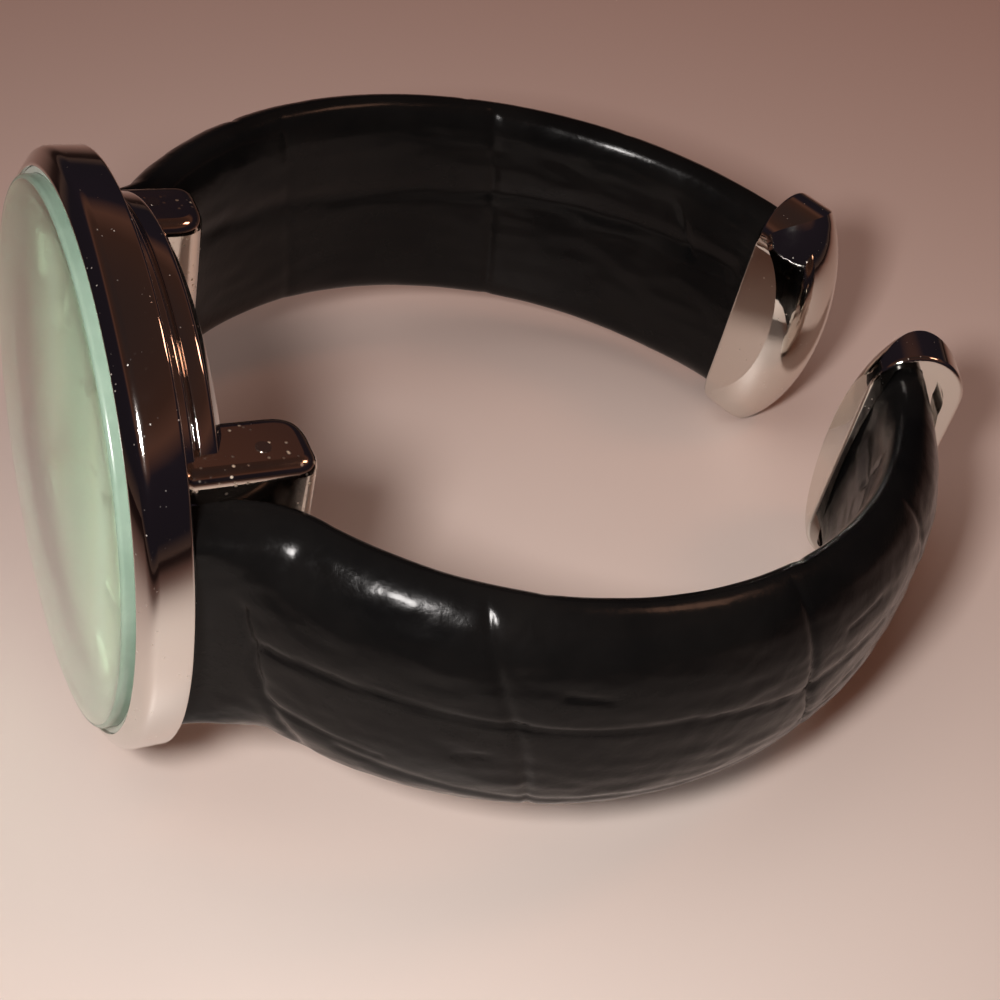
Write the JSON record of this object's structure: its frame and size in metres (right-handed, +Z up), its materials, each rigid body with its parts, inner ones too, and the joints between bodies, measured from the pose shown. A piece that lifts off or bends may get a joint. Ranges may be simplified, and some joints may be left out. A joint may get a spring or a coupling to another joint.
{
  "type": "cuff watch",
  "caption": "Open cuff watch: slim round chrome case on a sprung bangle of padded scale-embossed black leather arms that end in domed chrome caps.",
  "frame": {"origin": "centre of the overall box, on the surface the watch rests on", "axes": "the watch lies on its side as in the picture: +Z up, roughly along the axis of the cuff, -Y towards the dial side, +Y towards the end caps, +X towards the arm at twelve o'clock"},
  "size_m": [0.0652, 0.0694, 0.0421],
  "materials": {
    "chrome": "polished",
    "back_steel": "fine satin",
    "crystal_glass": "clear with a green edge",
    "seal": "matt",
    "dial_paint": "pale silver, satin",
    "flange_steel": "satin",
    "bright_steel": "polished",
    "holder_plastic": "matt",
    "wheel_brass": "satin",
    "cell_steel": "satin",
    "coil_copper": "enamelled wire",
    "rotor_magnet": "dull",
    "board_green": "lacquered",
    "tool_steel": "turned",
    "spring_steel": "blued dull",
    "padding": "felt",
    "black_leather": "glossy, scale embossed"
  },
  "bodies": {
    "case": {"case_middle": "chrome", "crystal": "crystal_glass", "crystal_gasket": "seal", "dial_flange": "flange_steel", "dial": "dial_paint", "hour_markers": "bright_steel", "movement_holder": "holder_plastic", "main_plate": "wheel_brass", "train_bridge": "wheel_brass", "battery": "cell_steel", "stepper_coil": "coil_copper", "circuit_board": "board_green", "crown_tube": "tool_steel", "back_cover": "back_steel", "back_gasket": "seal", "lug_right": "chrome", "lug_left": "chrome", "hinge_pin_right": "tool_steel", "hinge_pin_left": "tool_steel", "hinge_spring_right": "spring_steel", "hinge_spring_left": "spring_steel", "lug_leather_right": "black_leather", "lug_leather_left": "black_leather"},
    "right_arm": {"leather_cover_right": "black_leather", "arm_core_right": "spring_steel", "arm_padding_right": "padding", "end_cap_right": "chrome"},
    "left_arm": {"leather_cover_left": "black_leather", "arm_core_left": "spring_steel", "arm_padding_left": "padding", "end_cap_left": "chrome"},
    "setting": {"setting_lever": "tool_steel"},
    "winding": {"stem": "tool_steel", "crown": "chrome"},
    "minutes": {"minute_hand": "bright_steel", "cannon_pinion": "wheel_brass"},
    "hours": {"hour_hand": "bright_steel", "hour_wheel": "wheel_brass"},
    "seconds": {"second_hand": "bright_steel", "seconds_wheel": "wheel_brass"},
    "rotor": {"stepper_rotor": "rotor_magnet"}
  },
  "joints": [
    {"name": "right_arm_opening", "type": "hinge", "parent": "case", "child": "right_arm", "pos_m": [0.0129, -0.02189, 0.02095], "axis": [0, -0.1964, -0.9805], "range_deg": [0, 12], "stiffness_Nm_per_rad": 1, "springref_deg": -2.86},
    {"name": "left_arm_opening", "type": "hinge", "parent": "case", "child": "left_arm", "pos_m": [-0.0129, -0.02189, 0.02095], "axis": [0, 0.1964, 0.9805], "range_deg": [0, 12], "stiffness_Nm_per_rad": 1, "springref_deg": -2.86},
    {"name": "crown_pull", "type": "slide", "parent": "case", "child": "setting", "axis": [0, -0.1964, -0.9805], "range_m": [0, 0.0012]},
    {"name": "crown_turn", "type": "hinge", "parent": "setting", "child": "winding", "pos_m": [0, -0.02999, 0.01237], "axis": [0, 0.1964, 0.9805], "continuous": true},
    {"name": "minutes_turn", "type": "hinge", "parent": "case", "child": "minutes", "pos_m": [0, -0.02817, 0.02221], "axis": [0, 0.9805, -0.1964], "continuous": true},
    {"name": "hours_turn", "type": "hinge", "parent": "case", "child": "hours", "pos_m": [0, -0.02817, 0.02221], "axis": [0, 0.9805, -0.1964], "continuous": true},
    {"name": "seconds_turn", "type": "hinge", "parent": "case", "child": "seconds", "pos_m": [0, -0.02817, 0.02221], "axis": [0, 0.9805, -0.1964], "continuous": true},
    {"name": "rotor_turn", "type": "hinge", "parent": "case", "child": "rotor", "pos_m": [0.0034, -0.02738, 0.01953], "axis": [0, 0.9805, -0.1964], "continuous": true}
  ],
  "couplings": [
    {"joint": "hours_turn", "follows": "minutes_turn", "ratio": 0.083333},
    {"joint": "rotor_turn", "follows": "seconds_turn", "ratio": 30}
  ]
}
